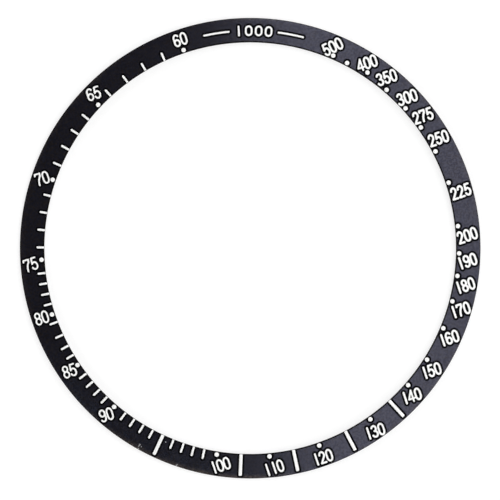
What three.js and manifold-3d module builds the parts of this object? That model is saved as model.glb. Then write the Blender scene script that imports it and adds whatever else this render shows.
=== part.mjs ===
// Tachymeter bezel insert for a wrist watch: a turned aluminium ring whose gently coned front face
// carries engraved scale marks filled with white enamel, with a ring of adhesive film on its flat back.
// The origin is the ring's centre on the underside of the film, +Z points out of the front face and
// +Y points at the 60 mark. Lengths are in millimetres. Angles are in degrees, and an angle round the
// scale is counted clockwise from the 60 mark, as the front face is read.

import * as THREE from "three";
import { mergeVertices } from "three/addons/utils/BufferGeometryUtils.js";
import Module from "manifold-3d";

// Ring
const innerDiameter = 34.8;
const landWidth = 2.05; // from the bore to the outer rim
const rimThickness = 0.5; // metal at the outer rim, where the face is lowest
const faceSlope = 5; // the face falls outwards by this angle
const frontBreak = 0.04; // flat chamfer on both front edges
const backBreak = 0.03; // flat chamfer on both back edges
const ringSegments = 144;

// Adhesive film
const filmThickness = 0.1;
const filmSetback = 0.3; // from each edge of the ring's back

// Engraving and enamel
const pocketDepth = 0.12;
const enamelClearance = 0.01; // between the enamel and its pocket, at the sides and the floor
const cutOverrun = 0.3;
const curveSegments = 4; // three.js gives each arc of an outline twice as many sides

// Short tick: open at the inner edge, with a round outer end
const tickWidth = 0.18;
const tickLength = 0.85; // the longest

// Long bar: open at the inner edge, with eased outer corners
const barWidth = 0.28;
const barMargin = 0.21; // from the bar's outer end to the outer edge of the face
const barCorner = 0.07;

// Pip: a round spot beside its number
const pipDiameter = 0.39;
const pipInset = 0.25; // from the inner edge to the pip's centre

// Ticks stand in runs, counter-clockwise from each number. A run starts with the tick for the speed
// `speed` at `angle`, and each of its ticks is `step` further back, a step that shrinks by `easing`. The
// ticks of a run are alike, and `lengthShare` gives their part of the longest tick.
const ticksInRun = 4;
const tickRuns = [
  { speed: 61, angle: 354.1, step: 6, easing: 0, lengthShare: 0.88 },
  { speed: 66, angle: 327.1, step: 5, easing: 0, lengthShare: 0.9 },
  { speed: 71, angle: 303.2, step: 4.8, easing: 0, lengthShare: 0.76 },
  { speed: 76, angle: 281.7, step: 2.9, easing: 0, lengthShare: 0.82 },
  { speed: 81, angle: 267.7, step: 3.9, easing: 0.5, lengthShare: 0.87 },
  { speed: 86, angle: 251.2, step: 2.9, easing: 0, lengthShare: 0.92 },
  { speed: 91, angle: 235.7, step: 3, easing: 0, lengthShare: 0.96 },
  { speed: 96, angle: 220.4, step: 3, easing: 0, lengthShare: 1 },
];

// Angle of each long bar, by speed
const barAngles = new Map([
  [95, 223.6],
  [105, 201.1],
  [115, 186.5],
  [125, 171.1],
  [135, 156.2],
]);

// Angle of each pip, by speed
const pipAngles = new Map([
  [60, 0],
  [65, 331.9],
  [70, 307.7],
  [75, 285.4],
  [80, 270.1],
  [90, 239.2],
  [100, 207.8],
  [110, 193.3],
  [120, 179.3],
  [130, 163.5],
  [140, 149.5],
  [150, 140.8],
  [160, 131.1],
  [170, 123.3],
  [180, 116.2],
  [225, 90.3],
  [250, 81],
  [275, 73.3],
  [300, 66.6],
  [350, 59.3],
  [450, 46.2],
]);

// Worked out from the sizes above
const innerRadius = innerDiameter / 2;
const outerRadius = innerRadius + landWidth;
const slope = THREE.MathUtils.degToRad(faceSlope);
const backHeight = filmThickness;
const rimHeight = backHeight + rimThickness;
const crestHeight = rimHeight + landWidth * Math.tan(slope);
const faceLength = landWidth / Math.cos(slope);

const anodisedBlack = new THREE.MeshStandardMaterial({ color: 0x17171b, roughness: 0.42, metalness: 0.3 });
const whiteEnamel = new THREE.MeshStandardMaterial({ color: 0xf6f6f4, roughness: 0.35, metalness: 0 });
const adhesiveFilm = new THREE.MeshStandardMaterial({ color: 0xd9d6cc, roughness: 0.6, metalness: 0 });

const wasm = await Module();
wasm.setup();

// A closed three.js geometry, moved by a matrix, as a solid that can be cut.
function toSolid(geometry, matrix) {
  const bare = geometry.clone().applyMatrix4(matrix);
  bare.deleteAttribute("normal");
  bare.deleteAttribute("uv");
  const merged = mergeVertices(bare);
  return new wasm.Manifold(
    new wasm.Mesh({
      numProp: merged.attributes.position.itemSize,
      vertProperties: merged.attributes.position.array,
      triVerts: new Uint32Array(merged.index.array),
    }),
  );
}

function toGeometry(solid) {
  const cut = solid.getMesh();
  const geometry = new THREE.BufferGeometry();
  geometry.setAttribute("position", new THREE.BufferAttribute(cut.vertProperties, cut.numProp));
  geometry.setIndex(new THREE.BufferAttribute(cut.triVerts, 1));
  geometry.computeVertexNormals();
  return geometry;
}

// A body of revolution about Z from a closed section of [radius, height] points.
function turned(section) {
  const points = [...section, section[0]].map(([radius, height]) => new THREE.Vector2(radius, height));
  return new THREE.LatheGeometry(points, ringSegments).rotateX(Math.PI / 2);
}

// The blank: a flat back, upright rims, a coned face and all four edges broken.
function ringBlank() {
  const breakFall = frontBreak * Math.tan(slope);
  return turned([
    [innerRadius + backBreak, backHeight],
    [outerRadius - backBreak, backHeight],
    [outerRadius, backHeight + backBreak],
    [outerRadius, rimHeight - frontBreak],
    [outerRadius - frontBreak, rimHeight + breakFall],
    [innerRadius + frontBreak, crestHeight - breakFall],
    [innerRadius, crestHeight - frontBreak],
    [innerRadius, backHeight + backBreak],
  ]);
}

function filmRing() {
  const inside = innerRadius + filmSetback;
  const outside = outerRadius - filmSetback;
  return turned([
    [inside, 0],
    [outside, 0],
    [outside, filmThickness],
    [inside, filmThickness],
  ]);
}

// Outlines of the marks, drawn in the plane of the face: x runs across the mark and y runs outwards
// from the inner edge. `start` is where an open end begins, and `grow` widens the rest on all sides.
function tickOutline(length, start, grow) {
  const half = tickWidth / 2 + grow;
  const outline = new THREE.Shape();
  outline.moveTo(-half, start);
  outline.lineTo(half, start);
  outline.absarc(0, length - tickWidth / 2, half, 0, Math.PI, false);
  return outline;
}

function barOutline(start, grow) {
  const half = barWidth / 2 + grow;
  const corner = barCorner + grow;
  const arcCentre = faceLength - barMargin - barCorner;
  const outline = new THREE.Shape();
  outline.moveTo(-half, start);
  outline.lineTo(half, start);
  outline.absarc(half - corner, arcCentre, corner, 0, Math.PI / 2, false);
  outline.absarc(corner - half, arcCentre, corner, Math.PI / 2, Math.PI, false);
  return outline;
}

// A pip stands clear of the inner edge, so it has no open end.
function pipOutline(_start, grow) {
  const outline = new THREE.Shape();
  outline.absarc(0, pipInset, pipDiameter / 2 + grow, 0, Math.PI, false);
  outline.absarc(0, pipInset, pipDiameter / 2 + grow, Math.PI, 2 * Math.PI, false);
  return outline;
}

// The enamel lies flush with the face and stops short of the inner chamfer.
function enamelGeometry(outline) {
  const depth = pocketDepth - enamelClearance;
  return new THREE.ExtrudeGeometry(outline(frontBreak, 0), {
    depth,
    bevelEnabled: false,
    curveSegments,
  }).translate(0, 0, -depth);
}

// What the engraver takes out: the mark grown by its clearance, run out past the inner edge and the face.
function pocketGeometry(outline) {
  return new THREE.ExtrudeGeometry(outline(-cutOverrun, enamelClearance), {
    depth: pocketDepth + cutOverrun,
    bevelEnabled: false,
    curveSegments,
  }).translate(0, 0, -pocketDepth);
}

function scaleMarks() {
  const marks = [];
  for (const { speed, angle, step, easing, lengthShare } of tickRuns) {
    const outline = (start, grow) => tickOutline(tickLength * lengthShare, start, grow);
    for (let i = 0; i < ticksInRun; i += 1) {
      const shrunk = (easing * i * (i - 1)) / 2;
      marks.push({ name: `tick_${speed + i}`, angle: angle - step * i + shrunk, outline });
    }
  }
  for (const [speed, angle] of barAngles) marks.push({ name: `bar_${speed}`, angle, outline: barOutline });
  for (const [speed, angle] of pipAngles) marks.push({ name: `pip_${speed}`, angle, outline: pipOutline });
  return marks;
}

// A seat on the inner edge of the face, turned to its place round the scale and laid along the cone.
function markSeat(angle) {
  const turn = new THREE.Group();
  turn.rotation.z = -THREE.MathUtils.degToRad(angle);
  const seat = new THREE.Group();
  seat.position.set(0, innerRadius, crestHeight);
  seat.rotation.x = -slope;
  turn.add(seat);
  turn.updateMatrixWorld(true);
  return { turn, seat };
}

function named(name, geometry, material) {
  const mesh = new THREE.Mesh(geometry, material);
  mesh.name = name;
  return mesh;
}

const group = new THREE.Group();
let engraved = toSolid(ringBlank(), new THREE.Matrix4());
for (const { name, angle, outline } of scaleMarks()) {
  const { turn, seat } = markSeat(angle);
  engraved = engraved.subtract(toSolid(pocketGeometry(outline), seat.matrixWorld));
  seat.add(named(name, enamelGeometry(outline), whiteEnamel));
  group.add(turn);
}
group.add(named("insert_ring", toGeometry(engraved), anodisedBlack));
group.add(named("adhesive_ring", filmRing(), adhesiveFilm));

export default group;
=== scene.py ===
"""Bezel insert maker: dresses the turned ring of a watch bezel insert and its enamelled speed scale.

The fixed frame gives the ring, the ticks, the long bars, most of the pips and the adhesive film at their
real sizes. The add-on engraves a finer ring round the same marks, cuts pockets for the upright numbers,
fills every pocket with enamel, and sets the ring on a pale table under soft light. Outlines are worked out
in millimetres on the plane of the face and turned into metres when a mesh is made. Angles round the scale
are in degrees, clockwise from the 60 mark.
"""

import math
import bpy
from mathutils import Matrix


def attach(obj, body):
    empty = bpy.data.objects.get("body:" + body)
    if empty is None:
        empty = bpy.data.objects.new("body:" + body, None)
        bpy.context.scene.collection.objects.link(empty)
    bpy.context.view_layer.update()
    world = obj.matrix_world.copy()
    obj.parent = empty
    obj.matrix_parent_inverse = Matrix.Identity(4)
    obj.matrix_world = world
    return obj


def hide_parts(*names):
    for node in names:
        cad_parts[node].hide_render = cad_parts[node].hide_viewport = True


bl_info = {
    "name": "Bezel Insert Maker",
    "version": (1, 0, 0),
    "blender": (4, 5, 0),
    "location": "3D View > Sidebar > Bezel Insert",
    "description": "Engraves a bezel insert's ring, fills its scale with enamel and sets it on a stage",
    "category": "Object",
}

import bpy
import numpy as np
from bpy.props import FloatProperty, FloatVectorProperty, IntProperty, PointerProperty, StringProperty
from bpy.types import Operator, Panel, PropertyGroup
from mathutils import Vector
from mathutils.geometry import delaunay_2d_cdt

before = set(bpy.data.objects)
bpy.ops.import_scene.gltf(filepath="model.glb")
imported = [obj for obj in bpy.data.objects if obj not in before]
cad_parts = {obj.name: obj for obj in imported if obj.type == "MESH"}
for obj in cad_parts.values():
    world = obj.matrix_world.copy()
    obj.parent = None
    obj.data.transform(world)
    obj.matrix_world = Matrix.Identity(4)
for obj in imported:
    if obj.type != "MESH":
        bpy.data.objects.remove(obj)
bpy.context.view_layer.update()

MM = 0.001

# What the frame says of the ring


def node_points(name):
    """The corner points of a frame node, in millimetres."""
    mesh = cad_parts[name].data
    points = np.empty(3 * len(mesh.vertices), dtype=np.float32)
    mesh.vertices.foreach_get("co", points)
    return points.reshape(-1, 3) / MM


def reach_of(points):
    """How far each point lies from the ring's axis."""
    return np.hypot(points[:, 0], points[:, 1])


RING_POINTS = node_points("insert_ring")
RING_REACH = reach_of(RING_POINTS)
BORE = float(RING_REACH.min())
RIM = float(RING_REACH.max())
LAND = RIM - BORE
MIDDLE = (BORE + RIM) / 2
BACK = float(RING_POINTS[:, 2].min())
OPEN_START = BORE - LAND / 4  # where the cutter starts on a mark that is open at the bore


def highest_near(low_reach, high_reach):
    """Reach and height of the ring's highest point between two distances from its axis."""
    chosen = RING_POINTS[(RING_REACH >= low_reach) & (RING_REACH <= high_reach)]
    top = chosen[np.argmax(chosen[:, 2])]
    return float(np.hypot(top[0], top[1])), float(top[2])


INNER_REACH, INNER_HEIGHT = highest_near(BORE, BORE + LAND / 4)
OUTER_REACH, OUTER_HEIGHT = highest_near(RIM - LAND / 4, RIM)
FACE_FALL = (INNER_HEIGHT - OUTER_HEIGHT) / (OUTER_REACH - INNER_REACH)


def face_height(reach):
    """Height of the coned face at a distance from the axis."""
    return INNER_HEIGHT - FACE_FALL * (reach - INNER_REACH)


# Where the numbers stand: value, angle round the scale, and distance of the number's centre from the axis
NUMBER_PLACES = (
    ("60", 0.0, 18.58),
    ("65", 333.2, 18.59),
    ("70", 307.1, 18.53),
    ("75", 284.3, 18.58),
    ("80", 270.1, 18.57),
    ("85", 254.4, 18.45),
    ("90", 239.4, 18.59),
    ("100", 206.1, 18.46),
    ("110", 192.1, 18.63),
    ("120", 179.1, 18.69),
    ("130", 164.0, 18.73),
    ("140", 150.8, 18.52),
    ("150", 142.4, 18.52),
    ("160", 132.7, 18.50),
    ("170", 124.8, 18.58),
    ("180", 118.3, 18.50),
    ("190", 111.9, 18.43),
    ("200", 105.2, 18.35),
    ("225", 93.5, 18.41),
    ("250", 78.3, 18.40),
    ("275", 71.1, 18.37),
    ("300", 64.7, 18.37),
    ("350", 57.2, 18.45),
    ("400", 50.8, 18.49),
    ("500", 40.8, 18.38),
)
LEANS = {"500": -8.0}  # every other number stands upright; clockwise is positive
FINE_DIGITS = {"4": 0.87}  # share of the line's width that the cutter gives a digit with a small eye

# The pips that the frame leaves to this file: the number that each belongs to, its angle and its distance
CLOSE_PIPS = {
    "85": (254.5, 17.60),
    "190": (110.0, 17.64),
    "200": (102.5, 17.63),
    "400": (52.3, 17.83),
    "500": (41.9, 17.70),
}
JOINED_PIPS = ("400", "500")  # these run into their numbers, so one fill holds both

# Handling marks: angle, distance from the axis and radius of each small scuff
SCUFFS = (
    (227.9, 19.04, 0.1),
    (228.0, 19.18, 0.07),
    (227.3, 19.13, 0.07),
    (227.75, 19.4, 0.1),
    (222.15, 17.86, 0.07),
    (217.3, 19.33, 0.12),
)

# Rubbed stretches of the outer rim, where the dye has faded: angle of the middle, half length, width of the
# rubbed strip from the rim inwards, both in millimetres, and strength
RUBS = (
    (216.0, 10.0, 0.4, 1.0),
    (336.0, 4.0, 0.4, 0.25),
    (20.0, 3.0, 0.3, 0.3),
    (80.0, 11.0, 0.35, 0.2),
    (150.0, 8.0, 0.35, 0.2),
    (298.0, 17.0, 0.5, 0.12),
)

# Painted bluish sheen over the whole width of the land, strongest at the rim, with the same four measures
SHEEN_PATCH = (226.0, 13.0, 3.0, 0.125)

# The stage's fixed measures, in metres and radians
TABLE_HALF = 1.5
TABLE_DROP = 0.01 * MM  # keeps the table clear of the film's underside
LAMP_DISTANCE, LAMP_HEIGHT, LAMP_SIZE = 0.55, 0.27, (0.3, 0.3)
CARD_HEIGHT, CARD_EDGE, CARD_TURN = 0.6, 0.017, math.radians(5)
CARD_SIZE, STRIP_SIZE = (0.42, 0.7), (0.09, 0.7)
STRIP_DROP = 0.01  # two lamps in one plane would hide each other in a mirror
HORIZON_BLUR = math.radians(6)


# Settings


def a_length(name, description, millimetres):
    return FloatProperty(
        name=name, description=description, default=millimetres * MM, unit="LENGTH", precision=6)


def an_angle(name, description, degrees):
    return FloatProperty(
        name=name, description=description, default=math.radians(degrees), subtype="ANGLE")


def a_power(name, description, watts):
    return FloatProperty(name=name, description=description, default=watts, unit="POWER")


def a_colour(name, description, *channels):
    return FloatVectorProperty(
        name=name, description=description, default=channels, subtype="COLOR", size=3, min=0, max=1)


class EngravingSizes(PropertyGroup):
    """Sizes of the ring's edges and of the pockets cut into its face."""

    pocket_depth: a_length("Pocket depth", "Depth of every engraved pocket below the face", 0.12)
    clearance: a_length("Clearance", "Hairline between the enamel and the walls of its pocket", 0.01)
    eased_width: a_length("Eased width", "Width of the softened lip round every pocket", 0.15)
    eased_depth: a_length(
        "Eased depth", "How far a lip falls where it meets a pocket wall or the inner chamfer", 0.025)
    edge_ease: a_length("Eased edge", "Width of the softened strip along the two front chamfers", 0.05)
    rim_fall: a_length("Rim fall", "How far the softened strip falls at the outer chamfer", 0.004)
    front_break: a_length("Front edge break", "Chamfer of the two front edges", 0.04)
    back_break: a_length("Back edge break", "Chamfer of the two back edges", 0.03)
    outline_step: a_length("Outline step", "Spacing of the points along an engraved outline", 0.035)
    grid_step: a_length("Grid step", "Cell of the grid on which the outlines are traced", 0.02)
    rim_sides: IntProperty(
        name="Rim sides", description="Straight sides round the rim and the bore", default=720, min=72)
    face_rings: IntProperty(
        name="Face rings", description="Rings of points that keep the coned face even", default=5, min=1)


class EnamelSizes(PropertyGroup):
    """How the enamel lies in its pockets."""

    sink: a_length("Sink", "How far the enamel lies below the face", 0.002)
    inset: a_length(
        "Inset", "How far the enamel draws back from its mark's outline as it hardens", 0.006)
    end_gap: a_length(
        "End gap", "How far an open end of enamel stays from the edge of the face", 0.006)
    round_width: a_length("Rounded edge", "Width of the rounded edge of each fill", 0.03)
    round_drop: a_length("Edge drop", "How far the rounded edge falls at the pocket wall", 0.012)


class NumberSizes(PropertyGroup):
    """Shape of the upright numbers."""

    height: a_length("Height", "Overall height of a number", 1.12)
    digit_width: a_length("Digit width", "Overall width of any digit but 1", 0.59)
    stroke: a_length("Stroke", "Mean width of the engraved line", 0.17)
    stroke_swing: a_length(
        "Stroke swing", "How much wider the line is where the cutter went deepest", 0.02)
    heavy_angle: an_angle("Heavy side", "Where round the scale the cutter went deepest", 100)
    pair_pitch: a_length("Pitch of two", "Distance between the digits of a number of two", 0.615)
    triple_pitch: a_length("Pitch of three", "Distance between the digits of a number of three", 0.59)
    slim_pitch: a_length("Pitch beside a 1", "Distance between a 1 and a wider digit", 0.53)
    ones_pitch: a_length("Pitch of two 1s", "Distance between a 1 and another 1", 0.585)


class ArcNumberSizes(PropertyGroup):
    """The plain number that follows the arc between 60 and 500, with a dash on each side."""

    value: StringProperty(name="Value", description="Digits that stand along the arc", default="1000")
    centre_angle: an_angle("Centre", "Where the middle of the number stands round the scale", 19.5)
    span: an_angle("Span", "Angle that the number and its dashes cover together", 26.8)
    reach: a_length("Distance", "Distance of the digits' centres from the axis", 18.36)
    height: a_length("Height", "Overall height of the digits", 0.92)
    digit_width: a_length("Digit width", "Overall width of any digit but 1", 0.66)
    pitch: a_length("Pitch", "Distance between the digits' centres", 0.84)
    dash_gap: a_length("Dash gap", "Distance from the last digit's centre to the dash", 0.85)


class FinishColours(PropertyGroup):
    """Colours of the finishes."""

    anodising: a_colour("Anodising", "Black dyed oxide of the ring", 0.0058, 0.006, 0.0102)
    faded_dye: a_colour(
        "Faded dye", "Warm brown of the oxide where its dye has worn thin", 0.062, 0.051, 0.045)
    # A painted sheen: the bluish lighter colour that is laid over the lower left of the land
    bloom: a_colour("Bloom", "Bluish haze where the face has been handled", 0.066, 0.079, 0.112)
    brown_grain: a_colour(
        "Brown grain", "Specks of the oxide that took less of the dye", 0.0125, 0.009, 0.006)
    bare_metal: a_colour("Bare metal", "Aluminium where a scuff has cut the oxide", 0.55, 0.55, 0.56)
    enamel: a_colour("Enamel", "White enamel of the scale", 0.94, 0.94, 0.94)
    film: a_colour("Film", "Milky adhesive film", 0.74, 0.71, 0.63)
    table: a_colour("Table", "Pale table top", 0.36, 0.36, 0.36)


class StageSettings(PropertyGroup):
    """Camera and light."""

    turn: an_angle("Turn", "Angle by which the 60 mark stands left of the picture's top", 18.58)
    lens: FloatProperty(name="Lens", description="Focal length in millimetres", default=300.0, unit="CAMERA")
    picture_width: a_length("Picture width", "Width that the picture covers at the face", 42.22)
    right_shift: a_length("Camera right", "Camera's offset to the picture's right", -0.017)
    down_shift: a_length("Camera down", "Camera's offset to the picture's bottom", 0.152)
    sky: FloatProperty(name="Sky", description="Strength of the even light from all round", default=0.08)
    side_power: a_power("Side lamps", "Power of each of the low soft lamps", 1.3)
    card_power: a_power("Card", "Power of the soft card that the right half mirrors", 1.97)
    strip_power: a_power("Card strip", "Power of the strip that brightens the card's near edge", 0.12)
    horizon: an_angle(
        "Horizon", "Height up to which gloss and glass mirror the white surroundings", 35)
    table_glow: FloatProperty(
        name="Table whiteness", description="What the camera sees added to the table's own colour",
        default=0.71)


class InsertSettings(PropertyGroup):
    """All the settings of the insert."""

    engraving: PointerProperty(type=EngravingSizes)
    enamel: PointerProperty(type=EnamelSizes)
    numbers: PointerProperty(type=NumberSizes)
    arc_number: PointerProperty(type=ArcNumberSizes)
    colours: PointerProperty(type=FinishColours)
    stage: PointerProperty(type=StageSettings)


class InMillimetres:
    """A group of settings whose lengths are read in millimetres, and the rest as they are."""

    def __init__(self, group):
        self.group = group

    def __getattr__(self, key):
        value = getattr(self.group, key)
        return value / MM if self.group.bl_rna.properties[key].unit == "LENGTH" else value


# Digits are drawn by a round cutter, as paths in a box one wide and one high

BOW_STEP = 12.0  # degrees between the points of a bow
FULL_BOW = 360 - BOW_STEP  # a whole ellipse, but for the step that closes it


def bow(centre, reach, start, end):
    """Points along a stretch of an ellipse, from one angle to another in degrees."""
    count = max(2, round(abs(end - start) / BOW_STEP) + 1)
    angles = np.radians(np.linspace(start, end, count))
    return [(centre[0] + reach[0] * math.cos(a), centre[1] + reach[1] * math.sin(a)) for a in angles]


def closed(path):
    return [*path, path[0]]


def half_turned(paths):
    return [[(1 - x, 1 - y) for x, y in path] for path in paths]


SIX = [
    closed(bow((0.5, 0.28), (0.5, 0.28), 0, FULL_BOW)),
    [(0, 0.3), *bow((0.52, 0.64), (0.52, 0.36), 180, 38)],
]
DIGIT_PATHS = {
    "0": [closed(bow((0.5, 0.66), (0.5, 0.34), 0, 180) + bow((0.5, 0.34), (0.5, 0.34), 180, 360))],
    "1": [[(0.5, 0), (0.5, 1)]],
    "2": [[*bow((0.48, 0.72), (0.47, 0.28), 175, -28), (0, 0), (1, 0)]],
    "3": [
        bow((0.47, 0.76), (0.45, 0.24), 160, -90),
        bow((0.47, 0.26), (0.53, 0.26), 90, -160),
    ],
    "4": [[(0.72, 0), (0.72, 1), (-0.1, 0.26), (1.08, 0.26)]],
    "5": [[(0.93, 1), (0.2, 1), (0.07, 0.5), *bow((0.48, 0.31), (0.52, 0.31), 135, -158)]],
    "6": SIX,
    "7": [[(0, 0.86), (0.03, 1), (1, 1), *bow((1.5, 0), (1.13, 0.86), 120, 180)]],
    "8": [
        closed(bow((0.5, 0.76), (0.45, 0.24), 0, FULL_BOW)),
        closed(bow((0.5, 0.26), (0.5, 0.26), 0, FULL_BOW)),
    ],
    "9": half_turned(SIX),
}
DASH_POINTS = 12


def across_and_up(turn):
    """The directions across and up of what is turned clockwise by an angle in radians."""
    return np.array((math.cos(turn), -math.sin(turn))), np.array((math.sin(turn), math.cos(turn)))


def at_angle(angle, reach):
    """The point at an angle round the scale, in degrees, and a distance from the axis."""
    return reach * across_and_up(math.radians(angle))[1]


def digit_strokes(digit, centre, size, stroke, turn):
    """A digit's cutter paths, with its middle at a centre and its top turned clockwise by an angle."""
    across, up = across_and_up(turn)
    stroke = stroke * FINE_DIGITS.get(digit, 1.0)
    wide, high = size[0] - stroke, size[1] - stroke
    return [
        (np.array([centre + across * wide * (x - 0.5) + up * high * (y - 0.5) for x, y in path]), stroke / 2)
        for path in DIGIT_PATHS[digit]
    ]


def stroke_at(angle, sizes):
    """Width of the engraved line at an angle round the scale."""
    swing = math.cos(math.radians(angle) - sizes.heavy_angle)
    return (sizes.stroke + swing * sizes.stroke_swing) / MM


def number_strokes(value, centre, sizes, stroke, lean):
    """A number's cutter paths round its centre, with its top turned clockwise by an angle."""
    wide_pitch = sizes.pair_pitch if len(value) == 2 else sizes.triple_pitch
    places = [0.0]
    for before, after in zip(value, value[1:]):
        ones = (before + after).count("1")
        places.append(places[-1] + (wide_pitch, sizes.slim_pitch, sizes.ones_pitch)[ones])
    size = (sizes.digit_width, sizes.height)
    first_half, last_half = ((stroke if digit == "1" else size[0]) / 2 for digit in (value[0], value[-1]))
    middle = (places[0] - first_half + places[-1] + last_half) / 2
    across, _ = across_and_up(lean)
    strokes = []
    for digit, place in zip(value, places):
        strokes += digit_strokes(digit, centre + across * (place - middle), size, stroke, lean)
    return strokes


def arc_number_strokes(sizes, stroke):
    """The number that follows the arc, and the dash on each side of it."""
    centre_angle = math.degrees(sizes.centre_angle)
    pitch = math.degrees(sizes.pitch / sizes.reach)
    size = (sizes.digit_width, sizes.height)
    half = (len(sizes.value) - 1) / 2
    strokes = []
    for i, digit in enumerate(sizes.value):
        angle = centre_angle + pitch * (i - half)
        strokes += digit_strokes(digit, at_angle(angle, sizes.reach), size, stroke, math.radians(angle))
    near = pitch * half + math.degrees(sizes.dash_gap / sizes.reach)
    far = math.degrees(sizes.span) / 2 - math.degrees(stroke / 2 / sizes.reach)
    for side in (-1, 1):
        angles = np.linspace(centre_angle + side * near, centre_angle + side * far, DASH_POINTS)
        strokes.append((np.array([at_angle(angle, sizes.reach) for angle in angles]), stroke / 2))
    return strokes


# Marks that the frame holds are read from it, so their fills and pockets lie where it has them


def mark_measures(name):
    """Angle, half width, and nearest and farthest distance from the axis of a mark in the frame."""
    flat = node_points(name)[:, :2]
    middle = flat.mean(axis=0)
    angle = math.degrees(math.atan2(middle[0], middle[1]))
    across, along = (flat @ direction for direction in across_and_up(math.radians(angle)))
    return angle, float(np.abs(across).max()), float(along.min()), float(along.max())


def tick_strokes(name):
    angle, half, _, far = mark_measures(name)
    return [(np.array([at_angle(angle, OPEN_START), at_angle(angle, far - half)]), half)]


def bar_strokes(name):
    """A long bar: a cutter no wider than its eased corners goes round it and once down its middle."""
    angle, half, _, far = mark_measures(name)
    corner = half / 2
    side = across_and_up(math.radians(angle))[0] * (half - corner)
    near_end = at_angle(angle, OPEN_START)
    far_end = at_angle(angle, far - corner)
    border = np.array([near_end - side, far_end - side, far_end + side, near_end + side])
    return [(border, corner), (np.array([near_end, far_end]), corner)]


def pip_strokes(centre, radius):
    return [(np.array([centre]), radius)]


def frame_pip_strokes(name):
    angle, half, near, far = mark_measures(name)
    return pip_strokes(at_angle(angle, (near + far) / 2), half)


def frame_nodes(prefix):
    """Names of the frame's nodes that start with a word, in the order of their speeds."""
    names = [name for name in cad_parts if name.startswith(prefix)]
    return sorted(names, key=lambda name: int(name.rsplit("_", 1)[1]))


def all_marks(settings):
    """Every mark as its name, its cutter paths and the frame nodes that it replaces."""
    drawn_by = {"tick_": tick_strokes, "bar_": bar_strokes, "pip_": frame_pip_strokes}
    marks = [
        (name, strokes_of(name), [name])
        for prefix, strokes_of in drawn_by.items() for name in frame_nodes(prefix)
    ]
    pip_radius = mark_measures(frame_nodes("pip_")[0])[1]
    close_pips = {value: pip_strokes(at_angle(*place), pip_radius) for value, place in CLOSE_PIPS.items()}
    marks += [("pip_" + value, pip, []) for value, pip in close_pips.items() if value not in JOINED_PIPS]
    numbers, arc = InMillimetres(settings.numbers), InMillimetres(settings.arc_number)
    for value, angle, reach in NUMBER_PLACES:
        lean = math.radians(LEANS.get(value, 0.0))
        stroke = stroke_at(angle, settings.numbers)
        strokes = number_strokes(value, at_angle(angle, reach), numbers, stroke, lean)
        if value in JOINED_PIPS:
            strokes += close_pips[value]
        marks.append(("number_" + value, strokes, []))
    marks.append(("number_" + arc.value, arc_number_strokes(arc, numbers.stroke), []))
    return marks


# Outlines are traced round the ground that the cutter covers

FEWEST_POINTS = 8  # of an outline
LEAST_LENGTH = 1e-12  # keeps a path of one point from dividing by nothing
SAME_POINT = 1e-6  # points as near as this are one
HULL_TRIANGLES = 0  # asks for triangles over the whole hull of the outlines


def distance(points, strokes):
    """How far each point lies outside the strokes. Inside it is negative."""
    nearest = np.full(len(points), np.inf)
    for path, radius in strokes:
        starts = path[:-1] if len(path) > 1 else path
        along = path[1:] - starts if len(path) > 1 else np.zeros_like(path)
        offset = points[:, None, :] - starts[None, :, :]
        length = np.maximum((along**2).sum(axis=1), LEAST_LENGTH)
        share = np.clip((offset * along).sum(axis=2) / length, 0, 1)
        gap = offset - share[..., None] * along
        nearest = np.minimum(nearest, np.hypot(gap[..., 0], gap[..., 1]).min(axis=1) - radius)
    return nearest


def stroke_bounds(strokes, margin):
    low = np.min([path.min(axis=0) - radius for path, radius in strokes], axis=0)
    high = np.max([path.max(axis=0) + radius for path, radius in strokes], axis=0)
    return low - margin, high + margin


def outside_face(points, inset):
    """How far each point lies off the ring, or off the part of it that keeps an inset from its edges."""
    reach = reach_of(points)
    return np.maximum(BORE + inset - reach, reach - (RIM - inset))


class Ground:
    """The distance from a mark on a grid round it, from which outlines are traced."""

    def __init__(self, strokes, cell, margin, face_inset=None):
        self.cell = cell
        self.low, high = stroke_bounds(strokes, margin)
        across, up = (np.arange(self.low[axis], high[axis] + cell, cell) for axis in range(2))
        grid = np.stack(np.meshgrid(across, up), axis=-1).reshape(-1, 2)
        field = distance(grid, strokes)
        if face_inset is not None:
            field = np.maximum(field, outside_face(grid, face_inset))
        self.field = field.reshape(len(up), len(across))

    def crossing(self, first, second, level):
        """Where the field passes a level on the line between two grid corners."""
        a, b = self.field[first], self.field[second]
        share = (level - a) / (b - a)
        row, column = (first[axis] + share * (second[axis] - first[axis]) for axis in range(2))
        return self.low + self.cell * np.array((column, row))

    def loops(self, level):
        """Closed loops round the ground below a level, each with that ground on its left."""
        below = self.field < level
        mixed = below[:-1, :-1].astype(int) + below[1:, :-1] + below[:-1, 1:] + below[1:, 1:]
        following = {}
        for row, column in zip(*np.nonzero((mixed > 0) & (mixed < 4))):
            corners = [(row, column), (row, column + 1), (row + 1, column + 1), (row + 1, column)]
            sides = [(corners[k], corners[(k + 1) % 4]) for k in range(4)]
            leaving = [k for k, (a, b) in enumerate(sides) if below[a] and not below[b]]
            entering = [k for k, (a, b) in enumerate(sides) if below[b] and not below[a]]
            low_middle = sum(self.field[corner] for corner in corners) / 4 < level
            for k in leaving:
                turns = [(other - k) % 4 for other in entering]
                pick = min(turns) if low_middle or len(turns) == 1 else max(turns)
                following[frozenset(sides[k])] = frozenset(sides[(k + pick) % 4])
        loops = []
        while following:
            start, step = next(iter(following.items()))
            loop = [start]
            del following[start]
            while step != start:
                loop.append(step)
                step = following.pop(step)
            loops.append(np.array([self.crossing(*sorted(side), level) for side in loop]))
        return loops


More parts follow.
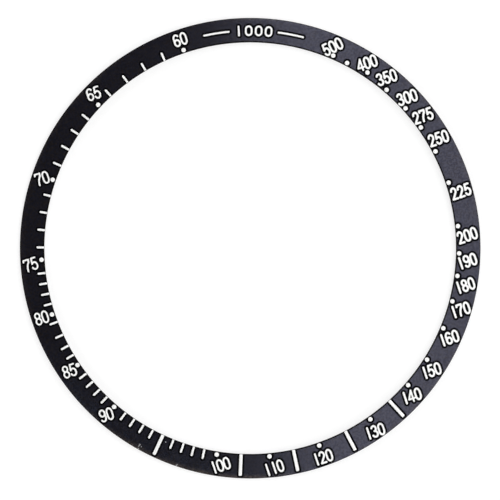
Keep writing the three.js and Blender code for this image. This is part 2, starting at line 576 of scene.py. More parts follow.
def evenly_spaced(loop, spacing):
    """The same closed loop with its points a near-equal distance apart."""
    ring = np.vstack([loop, loop[:1]])
    travelled = np.concatenate([[0.0], np.cumsum(np.hypot(*np.diff(ring, axis=0).T))])
    count = max(FEWEST_POINTS, round(travelled[-1] / spacing))
    stops = np.linspace(0.0, travelled[-1], count, endpoint=False)
    return np.column_stack([np.interp(stops, travelled, ring[:, axis]) for axis in range(2)])


def signed_area(loop):
    x, y = loop.T
    return 0.5 * float(np.sum(x * np.roll(y, -1) - y * np.roll(x, -1)))


def traced(ground, level, spacing):
    """Outlines at a level as pairs of a counter-clockwise loop and +1, or -1 where it is a hole."""
    outlines = []
    for loop in ground.loops(level):
        area = signed_area(loop)
        if abs(area) >= spacing**2:
            even = evenly_spaced(loop, spacing)
            outlines.append((even, 1) if area > 0 else (even[::-1], -1))
    return outlines


def circle(reach, sides, offset=0.0):
    angles = (np.arange(sides) + offset) * 2 * math.pi / sides
    return np.column_stack([reach * np.cos(angles), reach * np.sin(angles)])


def triangulated(loops, loose=()):
    """Splits the plane along loops. Gives the points, the triangles and the loops that hold each one."""
    points, faces = [], []
    for loop in loops:
        faces.append(list(range(len(points), len(points) + len(loop))))
        points += [Vector(point) for point in loop]
    points += [Vector(point) for point in loose]
    made, _, cells, _, _, owners_of = delaunay_2d_cdt(points, [], faces, HULL_TRIANGLES, SAME_POINT, True)
    flat = np.array([tuple(point) for point in made])
    triangles, holders = [], []
    for triangle, owners in zip(cells, owners_of):
        if owners:
            a, b, c = (flat[i] for i in triangle)
            cross = (b[0] - a[0]) * (c[1] - a[1]) - (b[1] - a[1]) * (c[0] - a[0])
            triangles.append(tuple(triangle) if cross > 0 else tuple(reversed(triangle)))
            holders.append(owners)
    return flat, triangles, holders


# Meshes

FACE, LIP, BEVEL, FLOOR, WALL, SIDE, UNDERSIDE = range(7)
# Faces that take the cut finish, which is painted in shade
KINDS_IN_SHADE = {LIP, BEVEL, FLOOR, WALL, SIDE}
EDGE_MASK = "broken_edge"  # the attribute that is 1 on the faces of broken edges, which wear follows

# The circles that split the ring's plan, from the bore outwards
BORE_EDGE, INNER_BREAK, INNER_EASE, OUTER_EASE, OUTER_BREAK, RIM_EDGE = range(6)


def placed(name, data):
    """A new object in the scene."""
    thing = bpy.data.objects.new(name, data)
    bpy.context.scene.collection.objects.link(thing)
    return thing


class Shell:
    """Points and faces of a mesh that is being built, in millimetres, with the kind of each face."""

    def __init__(self):
        self.points = []
        self.faces = []
        self.kinds = []

    def point(self, flat, height):
        self.points.append((float(flat[0]), float(flat[1]), float(height)))
        return len(self.points) - 1

    def face(self, corners, kind):
        self.faces.append(tuple(corners))
        self.kinds.append(kind)

    def piece(self, name, slot, finish, shaded_cut_finish=None):
        """The finished object, with its edges crisp where one kind of face meets another.

        Where a second finish is given, the cut faces have it, painted in shade: pockets, their lips, and
        the ring's sides and broken edges.
        """
        mesh = bpy.data.meshes.new(name)
        mesh.from_pydata([tuple(MM * c for c in point) for point in self.points], [], self.faces)
        mesh.validate()
        mesh.update()
        edge_mask = mesh.attributes.new(EDGE_MASK, "FLOAT", "FACE")
        edge_mask.data.foreach_set("value", [float(kind == BEVEL) for kind in self.kinds])
        kinds_at = {}
        for polygon, kind in zip(mesh.polygons, self.kinds):
            polygon.use_smooth = True
            for key in polygon.edge_keys:
                kinds_at.setdefault(key, set()).add(kind)
        for edge in mesh.edges:
            edge.use_edge_sharp = len(kinds_at[edge.key]) > 1
        piece = placed(name, mesh)
        mesh.materials.append(finish)
        if shaded_cut_finish:
            mesh.materials.append(shaded_cut_finish)
            for polygon, kind in zip(mesh.polygons, self.kinds):
                polygon.material_index = int(kind in KINDS_IN_SHADE)
        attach(piece, "root")
        return piece


class Layer(dict):
    """One layer of a shell's points over its plan, each made when it is first asked for."""

    def __init__(self, shell, flat, heights):
        super().__init__()
        self.shell, self.flat, self.heights = shell, flat, heights

    def __missing__(self, v):
        self[v] = self.shell.point(self.flat[v], self.heights[v])
        return self[v]


def side_twins(triangles):
    """Each directed side of the triangles with the triangle that it belongs to."""
    return {(t[k], t[(k + 1) % 3]): index for index, t in enumerate(triangles) for k in range(3)}


def revolved(profile, kinds, sides):
    """A shell turned from a closed profile of (reach, height), with a kind for the band after each point."""
    shell = Shell()
    rings = [[shell.point(flat, height) for flat in circle(reach, sides)] for reach, height in profile]
    for k, kind in enumerate(kinds):
        low, high = rings[k], rings[(k + 1) % len(rings)]
        for i in range(sides):
            j = (i + 1) % sides
            shell.face((low[i], low[j], high[j], high[i]), kind)
    return shell


def edge_ease_share(reach, cuts):
    """How far a point lies into the eased strip beside a front chamfer: 0 on the face, 1 at the chamfer."""
    front, eased = cuts.front_break, cuts.edge_ease
    depth = np.maximum(BORE + front + eased - reach, reach - (RIM - front - eased))
    return np.clip(depth / eased, 0, 1)


def ring_plan(cuts, marks):
    """The ring from above, split along its edges and marks: points, triangles and the triangles' kinds."""
    front, eased = cuts.front_break, cuts.edge_ease
    edges = (BORE, BORE + front, BORE + front + eased, RIM - front - eased, RIM - front, RIM)
    loops = [circle(reach, cuts.rim_sides) for reach in edges]
    signs = [None] * len(edges)
    lip_level = cuts.clearance + cuts.eased_width
    for _, strokes, _ in marks:
        ground = Ground(strokes, cuts.grid_step, lip_level + 2 * cuts.grid_step)
        for level, role in ((cuts.clearance, FLOOR), (lip_level, LIP)):
            for loop, sign in traced(ground, level, cuts.outline_step):
                loops.append(loop)
                signs.append((role, sign))
    steps = np.arange(1, cuts.face_rings + 1) / (cuts.face_rings + 1)
    loose = np.vstack([
        circle(BORE + LAND * share, cuts.rim_sides // 2, offset=0.5 * (k % 2))
        for k, share in enumerate(steps)
    ])
    flat, triangles, holders = triangulated(loops, loose)

    kept, kinds = [], []
    for triangle, owners in zip(triangles, holders):
        if BORE_EDGE in owners or RIM_EDGE not in owners:
            continue
        held = {FLOOR: 0, LIP: 0}
        for owner in owners:
            if signs[owner]:
                role, sign = signs[owner]
                held[role] += sign
        if held[FLOOR] > 0:
            kind = FLOOR
        elif INNER_BREAK in owners or OUTER_BREAK not in owners:
            kind = BEVEL
        # The inner eased strip takes the lips' kind, so it is painted in shade as a dark line along the bore
        elif held[LIP] > 0 or INNER_EASE in owners:
            kind = LIP
        else:
            kind = FACE
        kept.append(triangle)
        kinds.append(kind)
    return flat, kept, kinds


def ring_heights(cuts, marks, flat):
    """Heights of the ring's face, lips and broken edges over the points of its plan."""
    reach = reach_of(flat)
    lip, front = cuts.eased_width, cuts.front_break
    gap = np.full(len(flat), np.inf)
    for _, strokes, _ in marks:
        low, high = stroke_bounds(strokes, cuts.clearance + 2 * lip)
        near = np.all((flat >= low) & (flat <= high), axis=1)
        if near.any():
            gap[near] = np.minimum(gap[near], distance(flat[near], strokes))
    break_fall = np.clip(outside_face(flat, front), 0, front)
    edge_fall = np.where(reach < MIDDLE, cuts.eased_depth, cuts.rim_fall) * edge_ease_share(reach, cuts)
    lip_share = np.clip((cuts.clearance + lip - gap) / lip, 0, 1)
    return face_height(reach) - break_fall - np.maximum(cuts.eased_depth * lip_share, edge_fall)


def engraved_ring(settings, marks):
    """The ring with a pocket under every mark, a softened lip round each pocket and broken edges."""
    cuts = InMillimetres(settings.engraving)
    flat, triangles, kinds = ring_plan(cuts, marks)
    reach = reach_of(flat)
    shell = Shell()
    tops = Layer(shell, flat, ring_heights(cuts, marks, flat))
    floors = Layer(shell, flat, face_height(reach) - cuts.pocket_depth)
    for triangle, kind in zip(triangles, kinds):
        shell.face([(floors if kind == FLOOR else tops)[v] for v in triangle], kind)
    twins = side_twins(triangles)
    border = []
    for (a, b), index in twins.items():
        other = twins.get((b, a))
        if other is None:
            border.append((a, b, kinds[index]))
        elif kinds[index] != FLOOR and kinds[other] == FLOOR:
            shell.face((tops[a], floors[a], floors[b], tops[b]), WALL)

    lows, backs = {}, {}
    for a, b, kind in border:
        inward = cuts.back_break if reach[a] < MIDDLE else -cuts.back_break
        for v in (a, b):
            if v not in lows:
                lows[v] = shell.point(flat[v], BACK + cuts.back_break)
                backs[v] = shell.point(flat[v] * (1 + inward / reach[v]), BACK)
        if kind == FLOOR:
            corners = [floors[a], lows[a], lows[b], floors[b]]
        else:
            down = [tops[a], *([floors[a]] if a in floors else []), lows[a]]
            rise = [lows[b], *([floors[b]] if b in floors else []), tops[b]]
            corners = down + rise
        shell.face(corners, SIDE)
        shell.face((lows[a], backs[a], backs[b], lows[b]), BEVEL)

    around = sorted(lows, key=lambda v: math.atan2(flat[v][1], flat[v][0]))
    bore_side = [backs[v] for v in around if reach[v] < MIDDLE]
    rim_side = [backs[v] for v in around if reach[v] >= MIDDLE]
    corners = bore_side + rim_side
    outline = [np.array([shell.points[i][:2] for i in side]) for side in (bore_side, rim_side)]
    _, under, holders = triangulated(outline)
    for triangle, owners in zip(under, holders):
        if BORE_EDGE not in owners:
            shell.face([corners[v] for v in reversed(triangle)], UNDERSIDE)
    return shell


def enamel_fill(settings, strokes):
    """Enamel that fills a mark's pocket nearly flush, with its edge rounded down to the wall."""
    sizes, cuts = InMillimetres(settings.enamel), InMillimetres(settings.engraving)
    inset, width, front = sizes.inset, sizes.round_width, cuts.front_break
    edge_gap = sizes.end_gap - inset
    ground = Ground(strokes, cuts.grid_step, 2 * cuts.grid_step, face_inset=edge_gap)
    outlines = traced(ground, -inset, cuts.outline_step)
    inner = traced(ground, -inset - width, cuts.outline_step)
    signs = [sign for _, sign in outlines]
    flat, triangles, holders = triangulated([loop for loop, _ in outlines + inner])
    kept = [
        triangle for triangle, owners in zip(triangles, holders)
        if sum(signs[owner] for owner in owners if owner < len(signs)) > 0
    ]
    reach = reach_of(flat)
    gap = inset + np.maximum(distance(flat, strokes), outside_face(flat, edge_gap))
    rounded = np.clip(1 + gap / width, 0, 1) ** 2
    broken = np.clip(outside_face(flat, front), 0, front)
    broken += cuts.eased_depth * edge_ease_share(reach, cuts)
    top_height = face_height(reach) - sizes.sink - sizes.round_drop * rounded - broken
    low_height = face_height(reach) - cuts.pocket_depth + cuts.clearance

    shell = Shell()
    used = sorted({v for triangle in kept for v in triangle})
    tops = {v: shell.point(flat[v], top_height[v]) for v in used}
    lows = {v: shell.point(flat[v], low_height[v]) for v in used}
    twins = side_twins(kept)
    for triangle in kept:
        shell.face([tops[v] for v in triangle], FACE)
        shell.face([lows[v] for v in reversed(triangle)], UNDERSIDE)
    for a, b in twins:
        if (b, a) not in twins:
            shell.face((tops[a], lows[a], lows[b], tops[b]), WALL)
    return shell


# Shader node groups and materials

NODES_IN_ROW, NODE_WIDE, NODE_HIGH = 6, 220, 260
MIX_SHARE, MIX_FIRST, MIX_SECOND, MIX_RESULT = 0, 6, 7, 2  # the Mix node's sockets for colours
BUMP_DISTANCE = 0.01 * MM
LEAST_WORN = 0.82  # less the amount of wear, this is the noise above which an edge wears


class Nodes:
    """Short calls for placing and joining nodes in a tree."""

    def __init__(self, tree):
        self.tree = tree
        self.placed = 0

    def own(self, kind):
        """The tree's first node of a kind."""
        return next(node for node in self.tree.nodes if node.type == kind)

    def feed(self, node, inputs):
        """Gives each named or numbered input of a node its link or its value."""
        for key, value in inputs.items():
            if isinstance(value, bpy.types.NodeSocket):
                self.tree.links.new(value, node.inputs[key])
            else:
                node.inputs[key].default_value = value

    def add(self, kind, inputs, **settings):
        """Places a node with its settings and inputs, and gives its outputs."""
        node = self.tree.nodes.new(kind)
        row, column = divmod(self.placed, NODES_IN_ROW)
        node.location = (NODE_WIDE * column, -NODE_HIGH * row)
        self.placed += 1
        for key, value in settings.items():
            setattr(node, key, value)
        self.feed(node, inputs)
        return node.outputs

    def group(self, tree, inputs):
        return self.add("ShaderNodeGroup", inputs, node_tree=tree)

    def noise(self, place, scale, detail, **others):
        inputs = {"Vector": place, "Scale": scale, "Detail": detail, **others}
        return self.add("ShaderNodeTexNoise", inputs)

    def vector(self, operation, *inputs):
        return self.add("ShaderNodeVectorMath", dict(enumerate(inputs)), operation=operation)

    def maths(self, operation, first, second):
        return self.add("ShaderNodeMath", {0: first, 1: second}, operation=operation)["Value"]

    def product(self, first, *others):
        for other in others:
            first = self.maths("MULTIPLY", first, other)
        return first

    def ranged(self, value, low, high, start=0.0, end=1.0):
        """From low to high as a value goes from start to end, and no further."""
        inputs = {"Value": value, "From Min": start, "From Max": end, "To Min": low, "To Max": high}
        return self.add("ShaderNodeMapRange", inputs)["Result"]

    def blended(self, share, first, second):
        """A first colour that turns into a second as the share goes from 0 to 1."""
        inputs = {MIX_SHARE: share, MIX_FIRST: first, MIX_SECOND: second}
        return self.add("ShaderNodeMix", inputs, data_type="RGBA")[MIX_RESULT]

    def place_in_mm(self):
        """The shaded point, in millimetres from the ring's centre."""
        place = self.add("ShaderNodeTexCoord", {})["Object"]
        return self.vector("MULTIPLY", place, (1 / MM,) * 3)["Vector"]

    def reach_in_mm(self, place):
        """How far a place lies from the ring's axis."""
        flat = self.vector("MULTIPLY", place, (1, 1, 0))["Vector"]
        return self.vector("LENGTH", flat)["Value"]

    def closeness(self, place, centre, radius):
        """1 round a centre, falling from half a radius outwards to 0 at the radius."""
        gap = self.vector("DISTANCE", place, centre)["Value"]
        return self.ranged(self.maths("DIVIDE", gap, radius), 1.0, 0.0, start=0.5)


def built_once(store):
    """Lets a builder work once. After that it gives what Blender's store holds under its name."""
    def keep(build):
        name = build.__name__
        return lambda *given: getattr(bpy.data, store).get(name) or build(name, *given)
    return keep


class ShaderGroup(Nodes):
    """A shader group that is being built. Its inputs come with their defaults, or with None for a place."""

    def __init__(self, name, inputs, outputs):
        super().__init__(bpy.data.node_groups.new(name, "ShaderNodeTree"))
        new_socket = self.tree.interface.new_socket
        for label, default in inputs.items():
            if default is None:
                new_socket(name=label, in_out="INPUT", socket_type="NodeSocketVector")
            else:
                socket = new_socket(name=label, in_out="INPUT", socket_type="NodeSocketFloat")
                socket.default_value = default
        for label in outputs:
            new_socket(name=label, in_out="OUTPUT", socket_type="NodeSocketFloat")
        self.given = self.add("NodeGroupInput", {})
        self.add("NodeGroupOutput", {})

    def finished(self, **outputs):
        """The group, with its outputs fed."""
        self.feed(self.own("GROUP_OUTPUT"), outputs)
        return self.tree


@built_once("node_groups")
def fine_speckle(name):
    """Fine grain, its tint, and broad drift: small changes of tone that no real surface is without."""
    group = ShaderGroup(name, {"Grains per mm": 20.0, "Drifts per mm": 0.3}, ("Grain", "Tint", "Drift"))
    place = group.place_in_mm()
    grain = group.noise(place, group.given["Grains per mm"], 3.0)
    tint = group.add("ShaderNodeSeparateColor", {"Color": grain["Color"]})["Blue"]
    drift = group.noise(place, group.given["Drifts per mm"], 4.0)
    return group.finished(Grain=grain["Fac"], Tint=tint, Drift=drift["Fac"])


@built_once("node_groups")
def turned_grain(name):
    """Fine rings round the axis, as a lathe leaves them, fading in and out along their length."""
    group = ShaderGroup(name, {"Rings per mm": 9.0, "Fading": 0.5}, ("Height",))
    place = group.place_in_mm()
    rings = group.product(group.reach_in_mm(place), group.given["Rings per mm"])
    fine = group.add("ShaderNodeTexNoise", {"W": rings, "Scale": 1.0, "Detail": 3.0}, noise_dimensions="1D")
    patch = group.noise(place, 0.7, 2.0)["Fac"]
    fade = group.ranged(patch, 1.0, group.given["Fading"], start=0.35, end=0.65)
    return group.finished(Height=group.product(group.maths("SUBTRACT", fine["Fac"], 0.5), fade))


@built_once("node_groups")
def edge_wear(name):
    """Where a worn edge shows: the mesh's edge mask, broken up by noise."""
    group = ShaderGroup(name, {"Amount": 0.2, "Patches per mm": 1.5}, ("Edge", "Wear"))
    edge = group.add("ShaderNodeAttribute", {}, attribute_name=EDGE_MASK)["Fac"]
    noise = group.noise(group.place_in_mm(), group.given["Patches per mm"], 5.0)["Fac"]
    threshold = group.maths("SUBTRACT", LEAST_WORN, group.given["Amount"])
    spots = group.maths("GREATER_THAN", noise, threshold)
    return group.finished(Edge=edge, Wear=group.product(spots, edge))


@built_once("node_groups")
def rim_rub(name):
    """A stretch of the rim where hands and cloths rub, broken up in patches and specks. Drawn wide, it is
    also the mask of the painted sheen.
    """
    group = ShaderGroup(
        name, {"Place mm": None, "Half length mm": 5.0, "Width mm": 0.4, "Strength": 0.3}, ("Mask",))
    given, place = group.given, group.place_in_mm()
    inset = group.maths("SUBTRACT", RIM, group.reach_in_mm(place))
    nearness = group.ranged(group.maths("DIVIDE", inset, given["Width mm"]), 1.0, 0.0)
    about = group.closeness(place, given["Place mm"], given["Half length mm"])
    noise = group.noise(place, 0.8, 6.0, Roughness=0.65)["Fac"]
    patches = group.ranged(noise, 0.4, 1.0, start=0.4, end=0.6)
    specks = group.ranged(group.noise(place, 5.0, 2.0)["Fac"], 0.0, 2.0, start=0.55, end=0.63)
    specks = group.product(specks, group.ranged(inset, 1.0, 0.0, start=0.1, end=0.3))
    broken_up = group.maths("ADD", patches, specks)
    return group.finished(Mask=group.product(nearness, about, broken_up, given["Strength"]))


@built_once("node_groups")
def scuff(name):
    """A small round patch of scratches about one place, in millimetres."""
    group = ShaderGroup(name, {"Place mm": None, "Radius mm": 0.1}, ("Mask",))
    place = group.place_in_mm()
    about = group.closeness(place, group.given["Place mm"], group.given["Radius mm"])
    scratches = group.noise(place, 7.0, 3.0, Distortion=1.5)["Fac"]
    return group.finished(Mask=group.product(about, group.ranged(scratches, 0.0, 1.0, start=0.44, end=0.53)))


def shaded(colour, factor):
    """The colour made darker or lighter, as a node colour."""
    return (*(min(1.0, c * factor) for c in colour), 1.0)


def on_face(angle, reach):
    """The place on the coned face at an angle round the scale and a distance from the axis."""
    return (*at_angle(angle, reach), face_height(reach))


class Finish(Nodes):
    """A material that is being built, with fine grain and a tone that drifts from a dark shade to a light."""

    def __init__(self, name, colour, grains, drifts, dark, light):
        self.material = bpy.data.materials.new(name)
        self.material.use_nodes = True
        self.material.diffuse_color = shaded(colour, 1.0)
        super().__init__(self.material.node_tree)
        self.shader = self.own("BSDF_PRINCIPLED")
        self.speckle = self.group(fine_speckle(), {"Grains per mm": grains, "Drifts per mm": drifts})
        self.tone = self.blended(self.speckle["Drift"], shaded(colour, dark), shaded(colour, light))

    @property
    def grain(self):
        return self.speckle["Grain"]

    def lay(self, mask, colour, factor=1.0):
        """Lays a shade of a colour over the tone where a mask shows it."""
        self.tone = self.blended(mask, self.tone, shaded(colour, factor))

    def rub_mask(self, angle, half_length, width, strength):
        """The mask of one rubbed stretch of the rim. The same mask lays the painted sheen over the land."""
        return self.group(rim_rub(), {
            "Place mm": on_face(angle, RIM),
            "Half length mm": half_length,
            "Width mm": width,
            "Strength": strength,
        })["Mask"]

    def rubbed(self, worn):
        """Where the dye has faded: a mask of wear, or a rubbed stretch of the rim where that is stronger."""
        for rub in RUBS:
            worn = self.maths("MAXIMUM", self.rub_mask(*rub), worn)
        return worn

    def finished(self, height, bump, **others):
        """The material, with its tone, a bump over a height, and the shader's other inputs by name."""
        bumped = self.add("ShaderNodeBump", {"Height": height, "Strength": bump, "Distance": BUMP_DISTANCE})
        inputs = {key.replace("_", " "): value for key, value in others.items()}
        self.feed(self.shader, {"Base Color": self.tone, "Normal": bumped["Normal"], **inputs})
        return self.material


@built_once("materials")
def black_anodising(name, colours):
    """Satin black dyed oxide over turned aluminium, faded brown along its rim, with a few scuffs and a
    painted bluish sheen over the lower left of the land.
    """
    finish = Finish(name, colours.anodising, grains=7.0, drifts=0.25, dark=0.8, light=1.2)
    turned = finish.group(turned_grain(), {"Rings per mm": 11.0, "Fading": 0.35})
    grainy = finish.ranged(finish.grain, 0.0, 1.0, start=0.35, end=0.75)
    finish.lay(grainy, colours.anodising, 1.9)
    tinted = finish.ranged(finish.speckle["Tint"], 0.0, 0.75, start=0.46, end=0.6)
    finish.lay(tinted, colours.brown_grain)
    # Painted sheen: a bluish lighter patch over the lower left of the land
    finish.lay(finish.rub_mask(*SHEEN_PATCH), colours.bloom)
    finish.lay(finish.rubbed(0.0), colours.faded_dye)
    scuffed = 0.0
    for angle, reach, radius in SCUFFS:
        spot = finish.group(scuff(), {"Place mm": on_face(angle, reach), "Radius mm": radius})
        scuffed = finish.maths("MAXIMUM", spot["Mask"], scuffed)
    finish.lay(finish.product(scuffed, 0.75), colours.bare_metal)
    smooth = finish.ranged(finish.grain, 0.15, 0.2)
    return finish.finished(
        finish.maths("ADD", turned["Height"], finish.product(finish.grain, 0.25)), bump=0.12,
        Metallic=finish.ranged(finish.grain, 0.0, 0.5, start=0.42, end=0.58),
        Roughness=finish.maths("ADD", smooth, finish.product(scuffed, 0.2)),
        Specular_IOR_Level=0.57, Specular_Tint=(0.74, 0.75, 1.0, 1.0))


@built_once("materials")
def matt_cut(name, colours):
    """Matt dyed oxide of the cut pockets, their lips, the sides and the broken edges, painted in shade as a
    near-black copy of the anodising that draws a dark outline round every mark and along the bore. The broken
    edges wear brown.
    """
    # Painted shade: the anodising's own colour at about a tenth of its strength, with next to no gloss
    finish = Finish(name, colours.anodising, grains=16.0, drifts=0.6, dark=0.08, light=0.16)
    finish.lay(finish.grain, colours.anodising, 0.2)
    wear = finish.group(edge_wear(), {"Amount": 0.2, "Patches per mm": 2.5})
    finish.lay(wear["Edge"], colours.brown_grain, 0.5)
    faded = finish.rubbed(finish.product(wear["Wear"], 0.3))
    finish.lay(finish.product(faded, wear["Edge"]), colours.faded_dye)
    return finish.finished(
        finish.grain, bump=0.3, Roughness=finish.ranged(finish.grain, 0.5, 0.7), Specular_IOR_Level=0.03)


@built_once("materials")
def white_enamel(name, colours):
    """White enamel, fired hard and lapped, with a faint ripple and fine pores."""
    finish = Finish(name, colours.enamel, grains=14.0, drifts=0.8, dark=0.97, light=1.03)
    pores = finish.ranged(finish.grain, 1.0, 0.0, start=0.27, end=0.33)
    finish.lay(finish.product(pores, 0.2), colours.enamel, 0.8)
    return finish.finished(finish.grain, bump=0.1, Roughness=finish.ranged(finish.grain, 0.28, 0.4))


@built_once("materials")
def adhesive_film(name, colours):
    """Milky pressure-sensitive film with the faint fibres of its carrier."""
    finish = Finish(name, colours.film, grains=9.0, drifts=0.6, dark=0.88, light=1.1)
    place = finish.add("ShaderNodeTexCoord", {})["Object"]
    stretched = finish.add("ShaderNodeMapping", {"Vector": place, "Scale": (6 / MM, 0.7 / MM, 6 / MM)})
    fibres = finish.noise(stretched["Vector"], 1.0, 4.0)
    finish.lay(finish.ranged(fibres["Fac"], 0.0, 0.6, start=0.55, end=0.7), colours.film, 1.25)
    return finish.finished(fibres["Fac"], bump=0.25, Roughness=finish.ranged(finish.grain, 0.5, 0.68))


def pale_table(settings):
    """Pale table top that the camera and mirrors see as white, and that still takes a soft shadow."""
    finish = Finish(
        "pale_table", settings.colours.table, grains=1.5, drifts=0.02, dark=0.985, light=1.015)
    finish.feed(finish.shader, {"Base Color": finish.tone, "Roughness": 0.9, "Specular IOR Level": 0.0})
    rays = finish.add("ShaderNodeLightPath", {})
    seen = finish.maths("MAXIMUM", rays["Is Camera Ray"], rays["Is Glossy Ray"])
    seen = finish.maths("MAXIMUM", seen, rays["Is Transmission Ray"])
    glow = finish.product(seen, settings.stage.table_glow)
    emission = finish.add("ShaderNodeEmission", {"Color": (1, 1, 1, 1), "Strength": glow})
    both = finish.add("ShaderNodeAddShader", {0: finish.shader.outputs["BSDF"], 1: emission["Emission"]})
    finish.feed(finish.own("OUTPUT_MATERIAL"), {"Surface": both["Shader"]})
    return finish.material


# The stage


def set_camera(stage, right, up):
    """A camera straight over the insert, turned so that its picture's top is the photograph's."""
    data = bpy.data.cameras.new("camera")
    data.lens = stage.lens
    distance_up = stage.picture_width * stage.lens / data.sensor_width
    data.clip_start, data.clip_end = distance_up / 10, distance_up * 100
    camera = placed("camera", data)
    over = Vector((0, 0, MM * face_height(RIM) + distance_up))
    camera.location = right * stage.right_shift - up * stage.down_shift + over
    camera.rotation_euler = (0, 0, -stage.turn)
    bpy.context.scene.camera = camera


def lay_table(settings):
    half = TABLE_HALF
    mesh = bpy.data.meshes.new("table")
    corners = [(-half, -half, 0), (half, -half, 0), (half, half, 0), (-half, half, 0)]
    mesh.from_pydata(corners, [], [(0, 1, 2, 3)])
    mesh.materials.append(pale_table(settings))
    table = placed("table", mesh)
    table.location.z = -TABLE_DROP


def light_sky(stage):
    """Even faint light that the camera sees as white, as gloss and glass do below the horizon's height."""
    world = bpy.data.worlds.new("sky")
    world.use_nodes = True
    bpy.context.scene.world = world
    nodes = Nodes(world.node_tree)
    rays = nodes.add("ShaderNodeLightPath", {})
    mirrored = nodes.maths("MAXIMUM", rays["Is Glossy Ray"], rays["Is Transmission Ray"])
    direction = nodes.add("ShaderNodeTexCoord", {})["Generated"]
    upwards = nodes.add("ShaderNodeSeparateXYZ", {"Vector": direction})["Z"]
    start, end = (math.sin(stage.horizon + blur) for blur in (-HORIZON_BLUR, HORIZON_BLUR))
    low = nodes.ranged(upwards, 1.0, 0.0, start, end)
    seen = nodes.maths("MAXIMUM", rays["Is Camera Ray"], nodes.product(mirrored, low))
    strength = nodes.ranged(seen, stage.sky, 1.0)
    nodes.feed(nodes.own("BACKGROUND"), {"Color": (1, 1, 1, 1), "Strength": strength})


def add_lamp(name, size, place, power):
    """A soft lamp of a width and a height that faces the insert and that the camera doesn't see."""
    data = bpy.data.lights.new(name, "AREA")
    data.shape = "RECTANGLE"
    data.size, data.size_y = size
    data.energy = power
    lamp = placed(name, data)
    lamp.location = place
    lamp.rotation_euler = (-Vector(place)).to_track_quat("-Z", "Y").to_euler()
    lamp.visible_camera = False
    return lamp


def hang_lamps(stage, right, up):
    """Four low lamps round the insert, and overhead a card with a brighter strip along its near edge."""
    for k in range(4):
        turn = stage.turn - math.radians(45 + 90 * k)
        place = (LAMP_DISTANCE * math.cos(turn), LAMP_DISTANCE * math.sin(turn), LAMP_HEIGHT)
        add_lamp(f"side_lamp_{k + 1}", LAMP_SIZE, place, stage.side_power)
    across = right * math.cos(CARD_TURN) + up * math.sin(CARD_TURN)
    for name, size, below, power in (
        ("right_card", CARD_SIZE, 0.0, stage.card_power),
        ("right_card_strip", STRIP_SIZE, STRIP_DROP, stage.strip_power),
    ):
        place = across * (CARD_EDGE + size[0] / 2) + Vector((0, 0, CARD_HEIGHT - below))
        card = add_lamp(name, size, place, power)
        card.rotation_euler = (0, 0, CARD_TURN - stage.turn)


# Operators


class FillMarks:
    """What the fills of one kind of mark have in common."""

    bl_options = {"REGISTER", "UNDO"}
    prefix = ""
    along_arc = False

    def execute(self, context):
        settings = context.scene.bezel_insert
        enamel = white_enamel(settings.colours)
        arc_name = "number_" + settings.arc_number.value
        for name, strokes, nodes in all_marks(settings):
            if not name.startswith(self.prefix) or (name == arc_name) != self.along_arc:
                continue
            piece = enamel_fill(settings, strokes).piece(name + "_enamel", "white_enamel", enamel)
            if nodes:
                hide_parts(*nodes)
        return {"FINISHED"}


class BEZEL_INSERT_OT_engrave_ring(Operator):
    """Make the anodised ring with a pocket under every mark"""

    bl_idname = "bezel_insert.engrave_ring"
    bl_label = "Engrave Ring"
    bl_options = {"REGISTER", "UNDO"}

    def execute(self, context):
        settings = context.scene.bezel_insert
        shell = engraved_ring(settings, all_marks(settings))
        finish, shaded_cut_finish = black_anodising(settings.colours), matt_cut(settings.colours)
        ring = shell.piece("engraved_ring", "anodised_aluminium", finish, shaded_cut_finish)
        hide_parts("insert_ring")
        return {"FINISHED"}


class BEZEL_INSERT_OT_fill_ticks(FillMarks, Operator):
    """Fill the short ticks with enamel"""

    bl_idname = "bezel_insert.fill_ticks"
    bl_label = "Fill Ticks"
    prefix = "tick_"


class BEZEL_INSERT_OT_fill_bars(FillMarks, Operator):
    """Fill the long bars with enamel"""

    bl_idname = "bezel_insert.fill_bars"
    bl_label = "Fill Bars"
    prefix = "bar_"


class BEZEL_INSERT_OT_fill_pips(FillMarks, Operator):
    """Fill the round pips with enamel"""

    bl_idname = "bezel_insert.fill_pips"
    bl_label = "Fill Pips"
    prefix = "pip_"


class BEZEL_INSERT_OT_fill_numbers(FillMarks, Operator):
    """Fill the upright numbers with enamel"""

    bl_idname = "bezel_insert.fill_numbers"
    bl_label = "Fill Numbers"
    prefix = "number_"


class BEZEL_INSERT_OT_fill_arc_number(FillMarks, Operator):
    """Fill the plain number that follows the arc, and its dashes"""

    bl_idname = "bezel_insert.fill_arc_number"
    bl_label = "Fill Arc Number"
    prefix = "number_"
    along_arc = True


class BEZEL_INSERT_OT_lay_film(Operator):
    """Lay the ring of adhesive film on the back"""

    bl_idname = "bezel_insert.lay_film"
    bl_label = "Lay Film"
    bl_options = {"REGISTER", "UNDO"}

    def execute(self, context):
        settings = context.scene.bezel_insert
        points = node_points("adhesive_ring")
        reach = reach_of(points)
        inside, outside = float(reach.min()), float(reach.max())
        low, high = float(points[:, 2].min()), float(points[:, 2].max())
        ease = (high - low) / 5
        profile = [
            (inside + ease, low), (outside - ease, low), (outside, low + ease), (outside, high),
            (inside, high), (inside, low + ease),
        ]
        kinds = (UNDERSIDE, BEVEL, SIDE, FACE, SIDE, BEVEL)
        shell = revolved(profile, kinds, settings.engraving.rim_sides // 2)
        film = shell.piece("film_ring", "adhesive_film", adhesive_film(settings.colours))
        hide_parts("adhesive_ring")
        return {"FINISHED"}


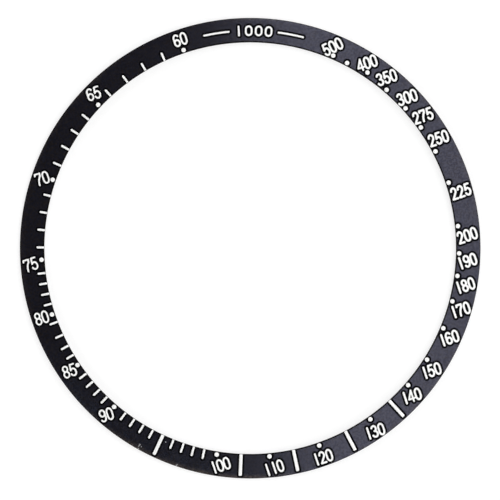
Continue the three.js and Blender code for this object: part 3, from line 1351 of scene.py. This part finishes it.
class BEZEL_INSERT_OT_set_stage(Operator):
    """Set the table, the camera and the soft lamps"""

    bl_idname = "bezel_insert.set_stage"
    bl_label = "Set Stage"
    bl_options = {"REGISTER", "UNDO"}

    def execute(self, context):
        settings = context.scene.bezel_insert
        stage = settings.stage
        right, up = (Vector((*direction, 0)) for direction in across_and_up(stage.turn))
        set_camera(stage, right, up)
        lay_table(settings)
        light_sky(stage)
        hang_lamps(stage, right, up)
        return {"FINISHED"}


OPERATORS = (
    BEZEL_INSERT_OT_engrave_ring,
    BEZEL_INSERT_OT_fill_ticks,
    BEZEL_INSERT_OT_fill_bars,
    BEZEL_INSERT_OT_fill_pips,
    BEZEL_INSERT_OT_fill_numbers,
    BEZEL_INSERT_OT_fill_arc_number,
    BEZEL_INSERT_OT_lay_film,
    BEZEL_INSERT_OT_set_stage,
)


class BEZEL_INSERT_PT_maker(Panel):
    """Lists the settings and the steps of the insert"""

    bl_idname = "BEZEL_INSERT_PT_maker"
    bl_label = "Bezel Insert"
    bl_space_type = "VIEW_3D"
    bl_region_type = "UI"
    bl_category = "Bezel Insert"

    def draw(self, context):
        settings = context.scene.bezel_insert
        for part in InsertSettings.__annotations__:
            group = getattr(settings, part)
            box = self.layout.box()
            box.label(text=part.replace("_", " ").capitalize())
            for key in group.__annotations__:
                box.prop(group, key)
        column = self.layout.column(align=True)
        for operator in OPERATORS:
            column.operator(operator.bl_idname)


CLASSES = (
    EngravingSizes,
    EnamelSizes,
    NumberSizes,
    ArcNumberSizes,
    FinishColours,
    StageSettings,
    InsertSettings,
    *OPERATORS,
    BEZEL_INSERT_PT_maker,
)


def register():
    for item in CLASSES:
        bpy.utils.register_class(item)
    bpy.types.Scene.bezel_insert = PointerProperty(type=InsertSettings)


def unregister():
    del bpy.types.Scene.bezel_insert
    for item in reversed(CLASSES):
        bpy.utils.unregister_class(item)


def main():
    register()
    bpy.context.scene.view_settings.view_transform = "Standard"
    bpy.ops.bezel_insert.set_stage()
    bpy.ops.bezel_insert.engrave_ring()
    bpy.ops.bezel_insert.fill_ticks()
    bpy.ops.bezel_insert.fill_bars()
    bpy.ops.bezel_insert.fill_pips()
    bpy.ops.bezel_insert.fill_numbers()
    bpy.ops.bezel_insert.fill_arc_number()
    bpy.ops.bezel_insert.lay_film()


if __name__ == "__main__":
    main()
